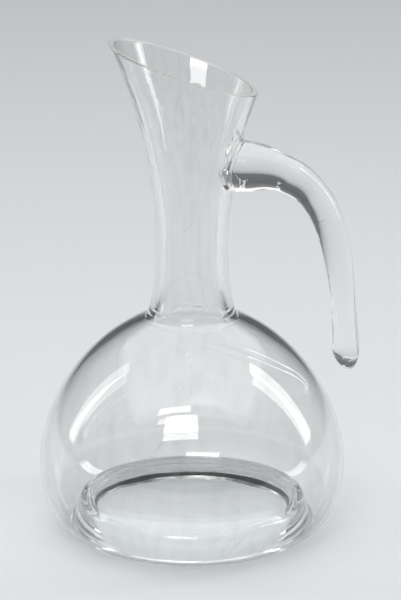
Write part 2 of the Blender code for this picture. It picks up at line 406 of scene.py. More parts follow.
class NeckWall:
    """The wall above the bowl: over the fused ring, up the neck and on past the mouth."""

    def __init__(self, neck):
        self.neck = neck
        self.waist_height = neck.seam_height + neck.waist_rise
        self.mouth_height = self.waist_height + neck.mouth_rise
        seam = np.array((neck.seam_radius, neck.seam_height))
        lead = seam - polar(SEAL_LEAD, -SEAM_PITCH)
        waist = np.array((neck.waist_radius, self.waist_height))
        flare = np.array((FLARE_RADIUS, self.waist_height + FLARE_RISE))
        below_flare = flare - polar(FLARE_SWEEP, math.pi / 2 - FLARE_PITCH)
        lower = cubic(lead, lead - polar(SEAL_SWEEP, -SEAM_PITCH), waist - (0, WAIST_SWEEP_BELOW), waist)
        upper = cubic(waist, waist + (0, WAIST_SWEEP_ABOVE), below_flare, flare)
        self.line = joined(np.array((seam, lead)), lower, upper)
        self.along = travelled(self.line)
        self.normals = right_of(self.line)
        self.normals[:2] = polar(1, math.pi / 2 - SEAM_PITCH)
        self.seal_along = self.at_height(neck.seam_height + neck.seal_rise)

    def at_height(self, height):
        """Distance along the wall at a height."""
        return float(np.interp(height, self.line[:, 1], self.along))

    def shift(self, height):
        """How far the neck's middle has leaned towards the handle at a height."""
        above = height - self.waist_height
        return math.tan(self.neck.lean) * (above + np.hypot(above, LEAN_EASE)) / 2

    def thickness(self, along):
        """How thick the drawn glass is: thinner the wider it flares, and even where it leaves the bowl."""
        pulled = self.neck.waist_wall * self.neck.waist_radius
        drawn = pulled / np.interp(along, self.along, self.line[:, 0])
        seam = pulled / self.neck.seam_radius
        return seam + (drawn - seam) * eased(along, 0, SEAL_SETTLE)

    def section(self, along, depth):
        """Radius and height at a distance along the wall and a depth under its outer surface."""
        radius, height = (np.interp(along, self.along, self.line[:, axis]) for axis in (0, 1))
        across, up = (np.interp(along, self.along, self.normals[:, axis]) for axis in (0, 1))
        return radius - depth * across, height - depth * up

    def streaks(self, angles, along, side):
        """How far the drawn streaks stand out."""
        fade = eased(along - self.seal_along, *NECK_STREAKS_FADE)
        wander = NECK_WANDER * np.sin(along / NECK_WANDER_LENGTH + side)
        return self.neck.streak * fade * waved(NECK_STREAKS, angles, wander, side)

    def place(self, angles, along, inside=False):
        """Points of the outer or inner surface."""
        depth = self.thickness(along) if inside else 0.0
        streaks = self.streaks(angles, along, INNER_STREAKS if inside else OUTER_STREAKS)
        radius, height = self.section(along, depth - streaks)
        return turned(radius, height, angles, self.shift(height))

    def clearance(self, places):
        """How far places stand out from the outer surface, measured level."""
        height = places[..., 2]
        radius = np.interp(height, self.line[:, 1], self.line[:, 0])
        return np.hypot(places[..., 0] - self.shift(height), places[..., 1]) - radius

    def mouth_along(self, angle, inside):
        """Distance along the wall at which the mouth's cut meets its outer or inner surface."""
        radius, height = self.section(self.along, self.thickness(self.along) if inside else 0.0)
        side = radius * math.cos(angle) + self.shift(height)
        off_top = 1 - swell(angle, math.pi, MOUTH_TOP_WIDTH)
        stray = MOUTH_STRAY_TOP + MOUTH_STRAY * off_top + MOUTH_STRAY_BACK * math.sin(angle)
        above = height + math.tan(self.neck.mouth_tilt) * side - self.mouth_height - stray
        return float(np.interp(0.0, above, self.along))


# The slow unevenness of the blown bowl, and how it fades towards the seam, the axis and the standing ring
BLOWN_WAVES = ((0.45, 2, 0.7, 11), (0.30, 3, 2.1, -24), (0.15, 7, 0.0, 60), (0.10, 5, 1.2, -95))
OUTER_WAVE = 0.35
SEAM_FADE = (4 * MM, 26 * MM)
AXIS_FADE = (6 * MM, 22 * MM)
FOOT_FADE = (1 * MM, 9 * MM)
ON_AXIS = 0.001 * MM


def bowl_side(seam, widest, foot, below, base):
    """One side of the bowl's wall from the neck down to the standing ring."""
    leave = seam + polar(SHOULDER_SWEEP, -SEAM_PITCH)
    shoulder = cubic(seam, leave, widest + (0, FLANK_SWEEP_ABOVE), widest)
    flank = cubic(widest, widest - (0, below), foot + (base, 0), foot)
    return joined(spaced(shoulder, SHOULDER_STEP), spaced(flank, FLANK_STEP))


def dome_side(foot, edge, top):
    """One side of the domed base from the standing ring in to the axis."""
    pitch = math.pi - DOME_EDGE_PITCH
    rise = cubic(foot, foot - (DOME_FOOT_SWEEP, 0), edge - polar(DOME_EDGE_SWEEP, pitch), edge)
    crown = cubic(edge, edge + polar(DOME_EDGE_SWEEP, pitch), top + (DOME_TOP_SWEEP, 0), top)
    return joined(spaced(rise, DOME_FOOT_STEP), spaced(crown, DOME_TOP_STEP))


def bowl_skin(shell, outline, wave, outer):
    """Rings of points along one side of the bowl's wall, ending in a pole on the axis."""
    angles = turn_angles(TURN_STEPS)
    rings = []
    for (radius, height), (across, up), along in zip(outline, right_of(outline), travelled(outline)):
        if radius < ON_AXIS:
            rings.append(shell.ring((0, 0, height)))
            continue
        fade = eased(along, *SEAM_FADE) * eased(radius, *AXIS_FADE)
        if outer:
            fade = OUTER_WAVE * fade * eased(height, *FOOT_FADE)
        move = wave * fade * waved(BLOWN_WAVES, angles, height)
        rings.append(shell.ring(turned(radius + across * move, height + up * move, angles)))
    return rings


def make_bowl(bowl, neck, glass):
    """The blown bowl: outer wall, standing ring, hollow dome, floor and inner wall."""
    wall = NeckWall(neck)
    seam, seam_inside = (np.array(wall.section(0.0, depth)) for depth in (0.0, wall.thickness(0.0)))
    widest = np.array((bowl.radius, bowl.widest_height))
    foot = np.array((bowl.ring_radius, 0.0))
    inner_foot = foot - (bowl.ring_width, 0)
    edge = np.array((inner_foot[0] - DOME_EDGE_INSET, bowl.dome_rise - DOME_EDGE_DROP))
    outside = joined(
        bowl_side(seam, widest, foot, FLANK_SWEEP_BELOW, BASE_SWEEP),
        spaced(np.array((foot, inner_foot)), RING_STEP),
        dome_side(inner_foot, edge, np.array((0.0, bowl.dome_rise))),
    )
    below = FLANK_SWEEP_BELOW - bowl.wall
    valley = foot + (VALLEY_OUTSET, bowl.base_wall)
    inner_edge = edge + polar(DOME_EDGE_WALL, math.pi / 2 - DOME_EDGE_PITCH)
    inside = joined(
        bowl_side(seam_inside, widest - (bowl.wall, 0), valley, below, VALLEY_SWEEP),
        dome_side(valley, inner_edge, np.array((0.0, bowl.dome_rise + bowl.base_wall))),
    )
    shell = Shell()
    outer = bowl_skin(shell, outside, bowl.wave, True)
    inner = bowl_skin(shell, inside, bowl.wave, False)
    shell.strip(outer[::-1])
    shell.strip(inner)
    shell.joint(outer[0], inner[0])
    return shell.piece("blown_bowl", glass)


# The fused ring's beads inside, as rows of share, place and width, and its ripples outside near one place
BEADS = ((1.0, 0.38, 0.10), (0.7, 0.70, 0.07))
BEAD_SWAY = ((0.05, 3, 1.0, 0), (0.02, 8, 0.0, 0))
BEAD_FADE = 0.22
RIPPLED = (-0.75, 0.55)
RIPPLE_SHARE = 0.22
RIPPLE_COUNT = 4.5
RIPPLE_SWAY = ((0.25, 6, 0.0, 0),)
RING_WAVES = ((0.06, 11, 0.0, 5),)


def make_neck_seal(neck, glass):
    """The fused ring, with soft beads inside and ripples outside where hot glass was pressed together."""
    wall = NeckWall(neck)
    angles = turn_angles(TURN_STEPS)
    bead_sway = waved(BEAD_SWAY, angles)
    ripple_sway = waved(RIPPLE_SWAY, angles)
    ripple_share = RIPPLE_SHARE * swell(angles, *RIPPLED)
    shell = Shell()
    outside, inside = [], []
    for t in np.linspace(0, 1, SEAL_ROWS):
        along = t * wall.seal_along
        height = neck.bead * eased(t, 0, BEAD_FADE) * (1 - eased(t, 1 - BEAD_FADE, 1))
        beads = sum(share * hump(t, place + bead_sway, width) for share, place, width in BEADS)
        ripples = ripple_share * np.cos(math.tau * (RIPPLE_COUNT * t + ripple_sway))
        ripples = ripples + waved(RING_WAVES, angles, t)
        depths = (-height * ripples, wall.thickness(along) + height * beads)
        for rings, depth in zip((outside, inside), depths):
            radius, level = wall.section(along, depth)
            rings.append(shell.ring(turned(radius, level, angles, wall.shift(level))))
    shell.strip(outside)
    shell.strip(inside[::-1])
    shell.joint(inside[0], outside[0])
    shell.joint(outside[-1], inside[-1])
    return shell.piece("fused_ring", glass)


# The line where the pad meets the neck: its waver, its inset and the thin film drawn up at its top
CONTACT_WAVER = ((0.010, 5, 0.6, 0), (0.005, 9, 2.0, 0))
CONTACT_INSET = 0.8 * MM
FILM_RISE = 5 * MM
FILMED = (-0.25, 0.55)

# The part of the neck round the pad that is meshed to that line
WINDOW_SIDE = math.radians(17)
WINDOW_BELOW = 24 * MM
WINDOW_ABOVE = 26 * MM


def contact_outline(wall, handle):
    """Angle and distance along the wall of the line where the pad meets the neck."""
    turn = turn_angles(PAD_STEPS)
    middle = wall.waist_height + handle.seat_rise
    waver = 1 + waved(CONTACT_WAVER, turn)
    film = FILM_RISE * swell(turn, *FILMED)
    angles = handle.wrap * waver * np.sin(turn)
    heights = middle + (handle.root / 2 - CONTACT_INSET) * waver * np.cos(turn) + film
    return angles, np.interp(heights, wall.line[:, 1], wall.along)


class PadWindow:
    """The neck's outer surface round the pad, rolled out flat and meshed to the pad's outline.

    Each of its faces is a list of corners, with whether the pad covers it. A corner is a row and column of
    the neck's points, or a place in the outline.
    """

    FLAT_RADIUS = 27.0
    CLEAR_OF_OUTLINE = 0.8
    SAME_PLACE = 1e-6

    def __init__(self, wall, handle, alongs):
        side = round((handle.wrap + WINDOW_SIDE) / math.tau * TURN_STEPS)
        self.columns = list(range(-side, side + 1))
        middle = wall.waist_height + handle.seat_rise
        low = wall.at_height(middle - WINDOW_BELOW)
        high = wall.at_height(middle + WINDOW_ABOVE)
        self.rows = [index for index, along in enumerate(alongs) if low <= along <= high]
        outline = self.flat(*contact_outline(wall, handle))
        points, keys = [], []
        for row in self.rows:
            for column in self.columns:
                place = self.flat(column * math.tau / TURN_STEPS, alongs[row])
                on_rim = row in (self.rows[0], self.rows[-1]) or column in (-side, side)
                if on_rim or np.min(np.linalg.norm(outline - place, axis=1)) > self.CLEAR_OF_OUTLINE:
                    keys.append((row, column))
                    points.append(tuple(place))
        patch = list(range(len(points), len(points) + PAD_STEPS))[::-1]
        keys += [("outline", index) for index in range(PAD_STEPS)]
        points += [tuple(place) for place in outline]
        _, _, faces, sources, _, covers = delaunay_2d_cdt(points, [], [patch], 0, self.SAME_PLACE)
        named = [[keys[sources[corner][0]] for corner in face] for face in faces]
        self.faces = [(corners, bool(cover)) for corners, cover in zip(named, covers)]

    def flat(self, angles, along):
        """Places on the neck, rolled out flat in millimetres."""
        across = np.asarray(angles) * self.FLAT_RADIUS
        return np.stack(np.broadcast_arrays(across, np.asarray(along) / MM), -1)


def neck_rows(wall):
    """Distances along the wall of the neck's level rows of points, up to just under the mouth."""
    top = wall.at_height(wall.mouth_height - LEVEL_BELOW_MOUTH)
    count = round((top - wall.seal_along) / NECK_STEP)
    return np.linspace(wall.seal_along, top, count + 1)


def rim_rows(wall, angles, outer_ends, inner_ends):
    """Rows of points over the cut rim, from its outer to its inner melted edge."""
    melted = wall.neck.rim_round
    outer_top = wall.place(angles, outer_ends)
    inner_top = wall.place(angles, inner_ends, True)
    width = np.linalg.norm(inner_top - outer_top, axis=1)[:, None]
    across = (inner_top - outer_top) / width
    outer_side = wall.place(angles, outer_ends - melted)
    outer_flat = outer_top + across * melted
    inner_flat = inner_top - across * melted
    inner_side = wall.place(angles, inner_ends - melted, True)
    corner = np.arange(RIM_CORNER_ROWS + 1) / RIM_CORNER_ROWS
    flat = np.arange(1, RIM_FLAT_ROWS) / RIM_FLAT_ROWS
    rows = [bowed(outer_side, outer_top, outer_flat, t) for t in corner[1:]]
    rows += [outer_flat + across * t * (width - 2 * melted) for t in flat]
    return rows + [bowed(inner_flat, inner_top, inner_side, t) for t in corner[:-1]]


def make_neck(neck, handle, glass, cut_glass):
    """The drawn neck: streaked walls, a mouth cut on a slant, and the patch that the pad is fused to."""
    wall = NeckWall(neck)
    angles = turn_angles(TURN_STEPS)
    alongs = neck_rows(wall)
    shares = np.sin(np.arange(1, MOUTH_ROWS + 1) / MOUTH_ROWS * math.pi / 2)
    shell = Shell()
    sides, ends = [], []
    for within in (False, True):
        end = np.array([wall.mouth_along(angle, within) for angle in angles])
        reaches = [alongs[-1] + share * (end - neck.rim_round - alongs[-1]) for share in shares]
        sides.append([shell.ring(wall.place(angles, along, within)) for along in (*alongs, *reaches)])
        ends.append(end)
    outside, inside = sides

    window = PadWindow(wall, handle, alongs)
    hole = {column % TURN_STEPS for column in window.columns[:-1]}
    for index, (low, high) in enumerate(zip(outside, outside[1:])):
        in_window = window.rows[0] <= index < window.rows[-1]
        shell.band(low, high, SURFACE, hole if in_window else ())
    shell.strip(inside[::-1])
    rim = [shell.ring(places) for places in rim_rows(wall, angles, *ends)]
    edge = [outside[-1], *rim, inside[-1]]
    for index, (low, high) in enumerate(zip(edge, edge[1:])):
        cut = RIM_CORNER_ROWS - 1 <= index < len(edge) - RIM_CORNER_ROWS
        shell.band(low, high, CUT_EDGE if cut else SURFACE)
    shell.joint(inside[0], outside[0])

    outline = shell.ring(wall.place(*contact_outline(wall, handle)))
    for names, covered in window.faces:
        corners = []
        for row, column in names:
            corners.append(outline[column] if row == "outline" else outside[row][column % TURN_STEPS])
        shell.face(corners, JOINT if covered else SURFACE)
    return shell.piece("drawn_neck", glass, cut_glass)


# The streaks along the pulled handle, and the crease round its heel, deepest underneath
HANDLE_STREAKS = ((0.6, 6, 0.0, 1), (0.4, 11, 0.0, -2))
HANDLE_STREAKS_FADE = (2 * MM, 16 * MM)
HANDLE_WANDER = 1.2
HANDLE_WANDER_LENGTH = 28 * MM
CREASE_PLACE = 19 * MM
CREASE_SLANT = 15 * MM
CREASE_DEPTH = 0.35 * MM
CREASE_WIDTH = 1.5 * MM
CREASED = (math.pi, 1.0)

# The shear mark on the tip: a point of the cut from the end of the middle line, its direction and its form
SHEAR_POINT = np.array((-3.1, 0.0, 3.2)) * MM
SHEAR_HEADING = np.array((0.28, -0.30, -0.915))
SHEAR_SWING = 0.55 * MM
SHEAR_SWING_LENGTH = 2.2 * MM
SHEAR_LIP = 0.30 * MM
SHEAR_LIP_FORM = (-0.5 * MM, 0.5 * MM)
SHEAR_STEP = 0.40 * MM
SHEAR_STEP_FORM = (-0.2 * MM, 0.5 * MM)
SHEAR_FRONT = (-0.1, 0.5)
SHEAR_END = (0.5 * MM, 3 * MM)
SHEAR_SIDE = (3.6 * MM, 6.4 * MM)


class HandleLine:
    """The handle's middle line with its radius."""

    def __init__(self, wall, handle):
        self.handle = handle
        seat = wall.waist_height + handle.seat_rise
        crest = seat + handle.root / 2
        surface = wall.section(wall.at_height(crest), 0.0)[0] + wall.shift(crest)
        across = handle.root / 2 * math.sin(-ROOT_PITCH)
        self.root = np.array((surface + handle.pad - across, seat))
        lead = self.root + polar(ROOT_LEAD, ROOT_PITCH)
        end = np.array((handle.reach - TIP_INSET * (1 - math.cos(TIP_PITCH)), seat - handle.drop))
        straight = spaced(np.array((self.root, lead)), ROOT_STEP)
        bend = cubic(lead, lead + polar(ROOT_SWEEP, ROOT_PITCH), end - polar(TIP_SWEEP, TIP_PITCH), end)
        self.line = joined(straight, bend)
        self.along = travelled(self.line)
        self.length = self.along[-1]
        tucked = np.clip(1 - (self.length - self.along) / TUCK_LENGTH, 0, 1)
        self.line[:, 0] -= TIP_TUCK * tucked**2
        self.heading = np.gradient(self.line, self.along, axis=0)
        self.heading /= np.linalg.norm(self.heading, axis=1)[:, None]
        self.heading[: len(straight)] = polar(1, ROOT_PITCH)

    def taper(self, along):
        """Radius at a distance along the handle, with its end closed by a pointed drop."""
        handle = self.handle
        stations = (
            (0.0, handle.root),
            (HEEL_PLACE, handle.heel),
            (BEND_PLACE, handle.bend),
            (GRIP_PLACE, handle.grip),
            (1 - DROP_LENGTH / self.length, handle.tip),
        )
        share = along / self.length
        thick = handle.tip
        for (low, wide), (high, narrow) in zip(stations, stations[1:]):
            if low <= share <= high:
                thick = wide + float(eased(share, low, high)) * (narrow - wide)
                break
        return thick / 2 * math.sqrt(1 - self.drop(along) ** DROP_POINT)

    def drop(self, along):
        """How far down the drop at the tip a place is: 0 at its widest, 1 at its end."""
        return max(0.0, 1 - (self.length - along) / DROP_LENGTH)

    def ring(self, along, turn, radius):
        """Points round the handle, counted from its upper side towards +Y."""
        centre = np.array([np.interp(along, self.along, self.line[:, axis]) for axis in (0, 1)])
        heading = np.array([np.interp(along, self.along, self.heading[:, axis]) for axis in (0, 1)])
        heading /= np.linalg.norm(heading)
        up = np.array((-heading[1], heading[0]))
        rise = radius * np.cos(turn) + DROP_SWAY * self.drop(along) ** 2
        return np.stack([centre[0] + up[0] * rise, radius * np.sin(turn), centre[1] + up[1] * rise], 1)

    def pulled(self, along, turn):
        """Radius round the handle with its streaks and the crease at its heel."""
        fade = eased(along, *HANDLE_STREAKS_FADE) * (1 - self.drop(along))
        wander = HANDLE_WANDER * np.sin(along / HANDLE_WANDER_LENGTH)
        streaks = self.handle.streak * fade * waved(HANDLE_STREAKS, turn, wander)
        crease_at = CREASE_PLACE + CREASE_SLANT * np.abs(np.cos(turn / 2))
        crease = CREASE_DEPTH * swell(turn, *CREASED) * hump(along, crease_at, CREASE_WIDTH)
        return self.taper(along) + streaks - crease

    def sheared(self, along, turn, radius):
        """How far the shear mark lifts or lowers the tip's front."""
        tip = self.ring(self.length, turn[:1], 0.0)[0]
        from_mark = self.ring(along, turn, radius) - tip - SHEAR_POINT
        side = from_mark[:, 0]
        beyond = from_mark @ SHEAR_HEADING + SHEAR_SWING * np.sin(side / SHEAR_SWING_LENGTH)
        lip = SHEAR_LIP * hump(beyond, *SHEAR_LIP_FORM)
        step = SHEAR_STEP * eased(beyond, *SHEAR_STEP_FORM)
        front = eased(-np.sin(turn), *SHEAR_FRONT) * eased(radius, *SHEAR_END)
        return front * (1 - eased(side, *SHEAR_SIDE)) * (lip - step)


def make_handle(neck, handle, glass):
    """The solid handle: pulled streaks along it, a crease at its heel and a sheared drop at its tip."""
    line = HandleLine(NeckWall(neck), handle)
    turn = turn_angles(PAD_STEPS)
    widest = line.length - DROP_LENGTH
    bow = np.linspace(0, math.pi / 2, DROP_ROWS)[1:-1]
    shell = Shell()
    rings = []
    for along in (*np.linspace(0, widest, SHAFT_ROWS), *(widest + DROP_LENGTH * np.sin(bow))):
        radius = line.pulled(along, turn)
        rings.append(shell.ring(line.ring(along, turn, radius + line.sheared(along, turn, radius))))
    rings.append(shell.ring(line.ring(line.length, turn[:1], 0.0)))
    shell.strip(rings)
    shell.joint(shell.ring((line.root[0], 0.0, line.root[1])), rings[0])
    return shell.piece("handle_rod", glass)


# How the pad runs in from the handle's root: how far the neck is looked for, and the fillet before it
PAD_DEEPEST = 30 * MM
PAD_TRIES = 601
PAD_FILLET = 3.0 * MM
PAD_FILLET_SHARE = 0.8

# How far the pad leads on and how steeply it meets the neck: at its sides, and what is added on top
PAD_LEAD = (1.6, 1.9)
PAD_STEEP = (0.45, -0.27)
PAD_OVER = (-0.2, 0.8)

# How it bulges underneath: shares along the neck and out from it
PAD_BULGE = (-0.35, -0.95)
PAD_UNDER = (0.1, 0.95)

# The pad's wrinkles: where they rise and fall, how they fold, the place they lie round and how they lift
WRINKLE_RISE = (0.05, 0.4)
WRINKLE_FALL = (0.75, 1.0)
WRINKLE_FOLDS = 2.6
WRINKLE_SWAY = ((0.15, 3, 0.5, 0),)
WRINKLED = (4.2, 0.8)
WRINKLE_LIFT = (0.5, 0.8)


def pad_rows(wall, line, handle):
    """Rows of points over the fused pad, from the handle's root to the neck."""
    turn = turn_angles(PAD_STEPS)
    angles, alongs = contact_outline(wall, handle)
    root = line.ring(0.0, turn, handle.root / 2)
    contact = wall.place(angles, alongs)
    heart = wall.place(np.array(0.0), np.array(wall.at_height(line.root[1])))
    outward = np.stack([np.cos(angles), np.sin(angles), np.zeros_like(angles)], 1)
    away = contact - heart
    away -= outward * np.sum(away * outward, axis=1)[:, None]
    away /= np.linalg.norm(away, axis=1)[:, None]

    axis = polar(1, ROOT_PITCH)
    inward = -np.array((axis[0], 0.0, axis[1]))
    tries = np.linspace(0, PAD_DEEPEST, PAD_TRIES)
    clear = wall.clearance(root[:, None, :] + tries[None, :, None] * inward)
    met = tries[np.argmax(clear < 0, axis=1)][:, None]
    fillet = np.minimum(PAD_FILLET, PAD_FILLET_SHARE * met)
    bend = root + (met - fillet) * inward
    rows = [root + step / PAD_STRAIGHT_ROWS * (bend - root) for step in range(PAD_STRAIGHT_ROWS + 1)]

    over = eased(np.cos(turn), *PAD_OVER)[:, None]
    under = eased(-np.cos(turn), *PAD_UNDER)[:, None]
    lead, steep = (at_sides + on_top * over for at_sides, on_top in (PAD_LEAD, PAD_STEEP))
    bulge, lift = (along * away + out * outward for along, out in (PAD_BULGE, WRINKLE_LIFT))
    flare = away - steep * outward
    leave = lead * fillet * inward
    arrive = np.linalg.norm(contact - bend, axis=1)[:, None] * (flare + under * (bulge - flare))
    sway = waved(WRINKLE_SWAY, turn)
    for t in np.arange(1, PAD_FILLET_ROWS + 1) / PAD_FILLET_ROWS:
        places = (
            (2 * t**3 - 3 * t**2 + 1) * bend
            + (t**3 - 2 * t**2 + t) * leave
            + (-2 * t**3 + 3 * t**2) * contact
            + (t**3 - t**2) * arrive
        )
        fade = eased(t, *WRINKLE_RISE) * (1 - eased(t, *WRINKLE_FALL))
        folds = np.cos(math.tau * (WRINKLE_FOLDS * t + sway)) * swell(turn, *WRINKLED)
        rows.append(places + lift * (handle.wrinkle * fade * folds)[:, None])
    return rows


def make_handle_seal(neck, handle, glass):
    """The fused pad: spread and wrinkled where the hot handle was pressed on the neck."""
    wall = NeckWall(neck)
    line = HandleLine(wall, handle)
    alongs = neck_rows(wall)
    shell = Shell()
    rings = [shell.ring(places) for places in pad_rows(wall, line, handle)]
    shell.strip(rings)
    shell.joint(shell.ring((line.root[0], 0.0, line.root[1])), rings[0])
    shell.crease(rings[-1])
    grid = {}
    for names, covered in PadWindow(wall, handle, alongs).faces:
        if not covered:
            continue
        corners = []
        for row, column in names:
            if row == "outline":
                corners.append(rings[-1][column])
                continue
            if (row, column) not in grid:
                place = wall.place(np.array(column * math.tau / TURN_STEPS), np.array(alongs[row]))
                grid[row, column] = shell.ring(place)[0]
            corners.append(grid[row, column])
        shell.face(corners[::-1], JOINT)
    return shell.piece("handle_pad", glass)


class NodeKit:
    """Adds and links the nodes of one node tree."""

    def __init__(self, tree):
        self.nodes = tree.nodes
        self.links = tree.links

    def put(self, socket, value):
        """Links an output to a socket, or sets the socket to a value."""
        if isinstance(value, bpy.types.NodeSocket):
            self.links.new(value, socket)
        else:
            socket.default_value = value

    def add(self, kind, inputs=None, **settings):
        """A new node with its settings, and with its inputs by name."""
        node = self.nodes.new("ShaderNode" + kind)
        for name, value in settings.items():
            setattr(node, name, value)
        for name, value in (inputs or {}).items():
            self.put(node.inputs[name], value)
        return node

    def noise(self, vector, scale, detail):
        return self.add("TexNoise", {"Scale": scale, "Detail": detail, "Vector": vector}).outputs["Fac"]

    def maths(self, operation, *values):
        node = self.add("Math", operation=operation)
        for socket, value in zip(node.inputs, values):
            self.put(socket, value)
        return node.outputs[0]

    def ranged(self, value, low, high):
        """Goes smoothly from 0 at low to 1 at high, which may be the smaller of the two."""
        inputs = {
            "Value": value,
            "From Min": min(low, high),
            "From Max": max(low, high),
            "To Min": float(low > high),
            "To Max": float(low < high),
        }
        return self.add("MapRange", inputs, interpolation_type="SMOOTHSTEP").outputs["Result"]

    def patches(self, vector, scale, detail, low, high):
        """Soft patches, where a noise rises from low to high."""
        return self.ranged(self.noise(vector, scale, detail), low, high)

    def mixed(self, factor, first, second, blend):
        inputs = {"Factor": factor, "A": first, "B": second}
        return self.add("Mix", inputs, data_type="RGBA", blend_type=blend).outputs["Result"]

    def ramp(self, value, stops):
        """Colours between stops, each a place and a colour, the first of them at 0."""
        node = self.add("ValToRGB", {"Fac": value})
        elements = node.color_ramp.elements
        elements[-1].position = stops[-1][0]
        for place, _ in stops[1:-1]:
            elements.new(place)
        for element, (_, tone) in zip(elements, stops):
            element.color = (*tone, 1.0)
        return node.outputs["Color"]


def new_finish(name):
    finish = bpy.data.materials.new(name)
    finish.use_nodes = True
    return finish, NodeKit(finish.node_tree)


# The shader group for what hot working and use leave on the glass, and its sockets
WORKED_GLASS = "worked_glass"
WORKED_SOCKETS = (
    ("INPUT", "Vector", ("Stretch",)),
    ("INPUT", "Float", ("Ripple", "Streak", "Haze", "Residue")),
    ("INPUT", "Color", ("Tint",)),
    ("OUTPUT", "Color", ("Colour",)),
    ("OUTPUT", "Float", ("Roughness", "Height")),
)

# Its traces: scale and detail of a noise, and the range in which a trace appears
RIPPLE_NOISE = (48.0, 1.5)
STREAK_NOISE = (1.0, 3.0)
FILM_RANGE = (0.42, 0.70)
SCRATCH_SLANT = (0.45, 0.60, 0.2)
SCRATCH_STRETCH = (1.0, 1.0, 9.0)
SCRATCH_NOISE = (70.0, 0.0)
SCRATCH_LEVEL = 0.5
SCRATCH_RANGE = (0.006, 0.0)
SCRATCH_PATCHES = (34.0, 2.0, 0.54, 0.62)
SPECK_SCALE = 260.0
SPECK_RANGE = (0.15, 0.07)
SPECK_PATCHES = (90.0, 2.0, 0.57, 0.63)
SMEARS = (17.0, 4.0, 0.45, 0.75)

# How much each trace roughens the glass, and how it darkens it
SCRATCH_ROUGHNESS = 0.10
SPECK_ROUGHNESS = 0.22
SMEAR_ROUGHNESS = 0.008
SCRATCH_SHADE = 0.4
TRACE_TINT = (0.60, 0.595, 0.58, 1.0)

# What each way of working leaves: how the grain is stretched, then ripple, streaks, residue and relief
BLOWN = ((110, 110, 9), 1.0, 0.08, 0.11, 0.35)
RING_FUSED = ((160, 160, 420), 1.2, 0.5, 0.03, 0.5)
DRAWN = ((300, 300, 6), 0.6, 0.8, 0.16, 0.5)
CUT = ((500, 500, 500), 0.4, 0.6, 0.12, 0.4)
PULLED = ((260, 260, 26), 0.5, 0.3, 0.03, 0.45)
PAD_FUSED = ((240, 240, 240), 1.6, 0.8, 0.03, 0.7)
RELIEF_DEPTH = 0.1 * MM

# How glass darkens where it is seen edge on, and what it lets through to the floor
FACING_BLEND = 0.35
EDGE_RANGE = (0.35, 0.95)
SHADOW_STOPS = ((0.0, (0.93, 0.94, 0.94)), (1.0, (0.54, 0.55, 0.56)))


def worked_group():
    """The shader group for what hot working and use leave on the glass."""
    group = bpy.data.node_groups.new(WORKED_GLASS, "ShaderNodeTree")
    for direction, kind, names in WORKED_SOCKETS:
        for name in names:
            group.interface.new_socket(name, in_out=direction, socket_type="NodeSocket" + kind)
    kit = NodeKit(group)
    given = group.nodes.new("NodeGroupInput").outputs
    made = group.nodes.new("NodeGroupOutput").inputs
    place = kit.add("TexCoord").outputs["Object"]

    stretched = kit.add("Mapping", {"Vector": place, "Scale": given["Stretch"]}, vector_type="POINT")
    streak = kit.noise(stretched.outputs["Vector"], *STREAK_NOISE)
    ripple = kit.maths("MULTIPLY", kit.noise(place, *RIPPLE_NOISE), given["Ripple"])
    height = kit.maths("ADD", ripple, kit.maths("MULTIPLY", streak, given["Streak"]))
    film = kit.maths("MULTIPLY", kit.ranged(streak, *FILM_RANGE), given["Residue"])

    slant = {"Vector": place, "Rotation": SCRATCH_SLANT, "Scale": SCRATCH_STRETCH}
    slanted = kit.add("Mapping", slant, vector_type="TEXTURE").outputs["Vector"]
    level = kit.maths("SUBTRACT", kit.noise(slanted, *SCRATCH_NOISE), SCRATCH_LEVEL)
    lines = kit.ranged(kit.maths("ABSOLUTE", level), *SCRATCH_RANGE)
    scratches = kit.maths("MULTIPLY", lines, kit.patches(place, *SCRATCH_PATCHES))
    dots = kit.add("TexVoronoi", {"Scale": SPECK_SCALE, "Vector": place}).outputs["Distance"]
    specks = kit.maths("MULTIPLY", kit.ranged(dots, *SPECK_RANGE), kit.patches(place, *SPECK_PATCHES))
    smears = kit.patches(place, *SMEARS)

    rough = given["Haze"]
    shares = (SCRATCH_ROUGHNESS, SPECK_ROUGHNESS, SMEAR_ROUGHNESS)
    for trace, share in zip((scratches, specks, smears), shares):
        rough = kit.maths("ADD", rough, kit.maths("MULTIPLY", trace, share))
    marks = kit.maths("MAXIMUM", specks, kit.maths("MULTIPLY", scratches, SCRATCH_SHADE))
    marks = kit.maths("MAXIMUM", film, marks)
    kit.put(made["Colour"], kit.mixed(marks, given["Tint"], TRACE_TINT, "MULTIPLY"))
    kit.put(made["Roughness"], rough)
    kit.put(made["Height"], height)
    return group


